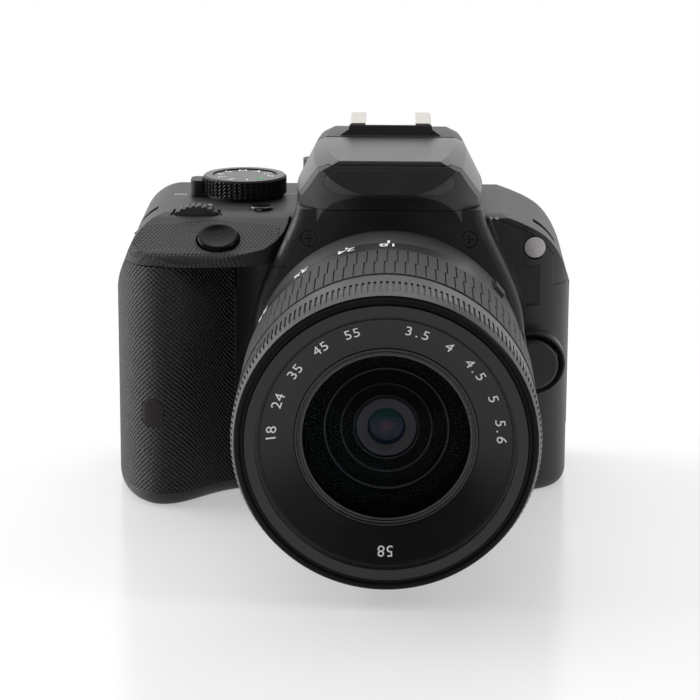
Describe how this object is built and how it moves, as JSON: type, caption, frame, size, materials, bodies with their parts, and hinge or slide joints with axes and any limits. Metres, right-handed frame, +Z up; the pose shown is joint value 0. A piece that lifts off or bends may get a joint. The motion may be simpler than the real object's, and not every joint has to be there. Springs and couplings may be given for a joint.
{
  "type": "compact reflex camera with zoom lens",
  "caption": "Compact interchangeable-lens reflex camera with a standard zoom lens, pop-up flash, accessory shoe and moving controls.",
  "frame": {"origin": "mouth of the tripod socket, in the plane of the base, under the lens axis", "axes": "+Z up, the lens looks along -Y, +X to the right of someone facing the lens"},
  "size_m": [0.117, 0.1399, 0.0912],
  "materials": {
    "black_plastic": "finely textured, matte",
    "grip_rubber": "diamond-textured, matte",
    "gloss_black": "polished",
    "dark_window": "polished",
    "black_steel": "black, satin",
    "steel": "satin",
    "battery_case": "matte",
    "lamp_lens": "frosted",
    "mirror": "polished",
    "sensor": "polished",
    "board": "satin",
    "prism_glass": "polished",
    "glass": "coated",
    "screen": "polished",
    "rubber": "matte",
    "key_plastic": "satin",
    "lens_plastic": "satin"
  },
  "bodies": {
    "body": {"front_cover": "black_plastic", "rear_cover": "black_plastic", "top_cover": "black_plastic", "grip_rubber": "grip_rubber", "logo_plate": "gloss_black", "remote_window": "dark_window", "cover_screws": "black_steel", "bottom_plate": "black_plastic", "tripod_socket": "steel", "battery": "battery_case", "mount_ring": "steel", "timer_lamp": "lamp_lens", "mirror_box": "black_plastic", "shutter_unit": "black_steel", "image_sensor": "sensor", "main_board": "board", "pentamirror": "prism_glass", "hot_shoe": "steel", "strap_lugs": "steel", "eyepiece_lens": "glass", "eyecup": "rubber", "lcd_window": "screen", "lcd_module": "board", "lens_barrel": "lens_plastic", "aperture_unit": "lens_plastic", "rear_element": "glass"},
    "zoom": {"zoom_ring": "lens_plastic", "zoom_rubber": "rubber"},
    "extension": {"front_barrel": "lens_plastic", "name_ring": "lens_plastic", "front_element": "glass", "stabiliser_glass": "glass"},
    "focus": {"focus_ring": "lens_plastic"},
    "focus_cell": {"focus_group": "glass"},
    "focus_mode": {"focus_mode_switch": "lens_plastic"},
    "stabiliser": {"stabiliser_switch": "lens_plastic"},
    "mirror": {"main_mirror": "mirror"},
    "curtain": {"shutter_curtain": "black_steel"},
    "mode": {"mode_dial": "black_plastic"},
    "power": {"power_lever": "black_plastic"},
    "wheel": {"main_dial": "black_plastic"},
    "shutter": {"shutter_button": "gloss_black"},
    "iso": {"iso_button": "gloss_black"},
    "flash_key": {"flash_button": "black_plastic"},
    "release": {"lens_release": "black_plastic"},
    "pin": {"lock_pin": "steel"},
    "flash": {"flash_head": "black_plastic"},
    "diopter": {"diopter_knob": "black_plastic"},
    "door": {"battery_door": "black_plastic"},
    "latch": {"door_latch": "black_plastic"},
    "terminals": {"terminal_cover": "rubber"},
    "menu": {"menu_button": "key_plastic"},
    "info": {"info_button": "key_plastic"},
    "live_view": {"live_view_button": "key_plastic"},
    "ae_lock": {"ae_lock_button": "key_plastic"},
    "af_point": {"af_point_button": "key_plastic"},
    "play": {"play_button": "key_plastic"},
    "delete": {"delete_button": "key_plastic"},
    "cross": {"cross_keys": "key_plastic"},
    "set": {"set_button": "key_plastic"}
  },
  "joints": [
    {"name": "zoom_turn", "type": "hinge", "parent": "body", "child": "zoom", "pos_m": [0, -0.068, 0.03875], "axis": [0, 1, 0], "range_deg": [0, 60]},
    {"name": "front_slide", "type": "slide", "parent": "body", "child": "extension", "axis": [0, -1, 0], "range_m": [0, 0.015]},
    {"name": "focus_turn", "type": "hinge", "parent": "extension", "child": "focus", "pos_m": [0, -0.096, 0.03875], "axis": [0, 1, 0], "continuous": true},
    {"name": "focus_slide", "type": "slide", "parent": "body", "child": "focus_cell", "axis": [0, 1, 0], "range_m": [-0.0016, 0.005]},
    {"name": "focus_mode_slide", "type": "slide", "parent": "body", "child": "focus_mode", "axis": [0, 1, 0], "range_m": [0, 0.0022]},
    {"name": "stabiliser_slide", "type": "slide", "parent": "body", "child": "stabiliser", "axis": [0, 1, 0], "range_m": [0, 0.0022]},
    {"name": "mirror_flip", "type": "hinge", "parent": "body", "child": "mirror", "pos_m": [0, 0.003, 0.05175], "axis": [-1, 0, 0], "range_deg": [0, 45], "stiffness_Nm_per_rad": 0.002},
    {"name": "curtain_drop", "type": "slide", "parent": "body", "child": "curtain", "axis": [0, 0, -1], "range_m": [0, 0.0174]},
    {"name": "mode_turn", "type": "hinge", "parent": "body", "child": "mode", "pos_m": [-0.0374, 0.011, 0.074], "axis": [0, 0, 1], "continuous": true},
    {"name": "power_turn", "type": "hinge", "parent": "body", "child": "power", "pos_m": [-0.0374, 0.011, 0.0724], "axis": [0, 0, 1], "range_deg": [0, 56]},
    {"name": "wheel_turn", "type": "hinge", "parent": "body", "child": "wheel", "pos_m": [-0.0482, -0.0111, 0.0648], "axis": [0, 1, 0], "continuous": true},
    {"name": "shutter_press", "type": "slide", "parent": "body", "child": "shutter", "axis": [0, 0.4617, -0.887], "range_m": [0, 0.001], "stiffness_N_per_m": 300},
    {"name": "iso_press", "type": "slide", "parent": "body", "child": "iso", "axis": [0, 0, -1], "range_m": [0, 0.0008], "stiffness_N_per_m": 300},
    {"name": "flash_key_press", "type": "slide", "parent": "body", "child": "flash_key", "axis": [-0.9272, 0, -0.3746], "range_m": [0, 0.0008], "stiffness_N_per_m": 300},
    {"name": "release_press", "type": "slide", "parent": "body", "child": "release", "axis": [0, 1, 0], "range_m": [0, 0.002], "stiffness_N_per_m": 300},
    {"name": "pin_slide", "type": "slide", "parent": "body", "child": "pin", "axis": [0, 1, 0], "range_m": [0, 0.002]},
    {"name": "flash_raise", "type": "hinge", "parent": "body", "child": "flash", "pos_m": [0, 0.0047, 0.0866], "axis": [-1, 0, 0], "range_deg": [0, 55]},
    {"name": "diopter_turn", "type": "hinge", "parent": "body", "child": "diopter", "pos_m": [-0.0192, 0.0228, 0.0778], "axis": [0, 0, 1], "range_deg": [-120, 120]},
    {"name": "door_swing", "type": "hinge", "parent": "body", "child": "door", "pos_m": [-0.04253, 0.006, 0.00097], "axis": [0, -1, 0], "range_deg": [0, 90]},
    {"name": "latch_slide", "type": "slide", "parent": "door", "child": "latch", "axis": [0, 1, 0], "range_m": [0, 0.0024]},
    {"name": "terminal_swing", "type": "hinge", "parent": "body", "child": "terminals", "pos_m": [0.04587, 0.01077, 0.031], "axis": [0, 0, -1], "range_deg": [0, 95]},
    {"name": "menu_press", "type": "slide", "parent": "body", "child": "menu", "axis": [0, -1, 0], "range_m": [0, 0.0008], "stiffness_N_per_m": 300},
    {"name": "info_press", "type": "slide", "parent": "body", "child": "info", "axis": [0, -1, 0], "range_m": [0, 0.0008], "stiffness_N_per_m": 300},
    {"name": "live_view_press", "type": "slide", "parent": "body", "child": "live_view", "axis": [0, -1, 0], "range_m": [0, 0.0008], "stiffness_N_per_m": 300},
    {"name": "ae_lock_press", "type": "slide", "parent": "body", "child": "ae_lock", "axis": [0, -1, 0], "range_m": [0, 0.0008], "stiffness_N_per_m": 300},
    {"name": "af_point_press", "type": "slide", "parent": "body", "child": "af_point", "axis": [0, -1, 0], "range_m": [0, 0.0008], "stiffness_N_per_m": 300},
    {"name": "play_press", "type": "slide", "parent": "body", "child": "play", "axis": [0, -1, 0], "range_m": [0, 0.0008], "stiffness_N_per_m": 300},
    {"name": "delete_press", "type": "slide", "parent": "body", "child": "delete", "axis": [0, -1, 0], "range_m": [0, 0.0008], "stiffness_N_per_m": 300},
    {"name": "set_press", "type": "slide", "parent": "body", "child": "set", "axis": [0, -1, 0], "range_m": [0, 0.0008], "stiffness_N_per_m": 300},
    {"name": "cross_press", "type": "slide", "parent": "body", "child": "cross", "axis": [0, -1, 0], "range_m": [0, 0.0005], "stiffness_N_per_m": 300}
  ],
  "couplings": [
    {"joint": "front_slide", "follows": "zoom_turn", "m_per_rad": 0.014324},
    {"joint": "pin_slide", "follows": "release_press", "ratio": 1}
  ]
}
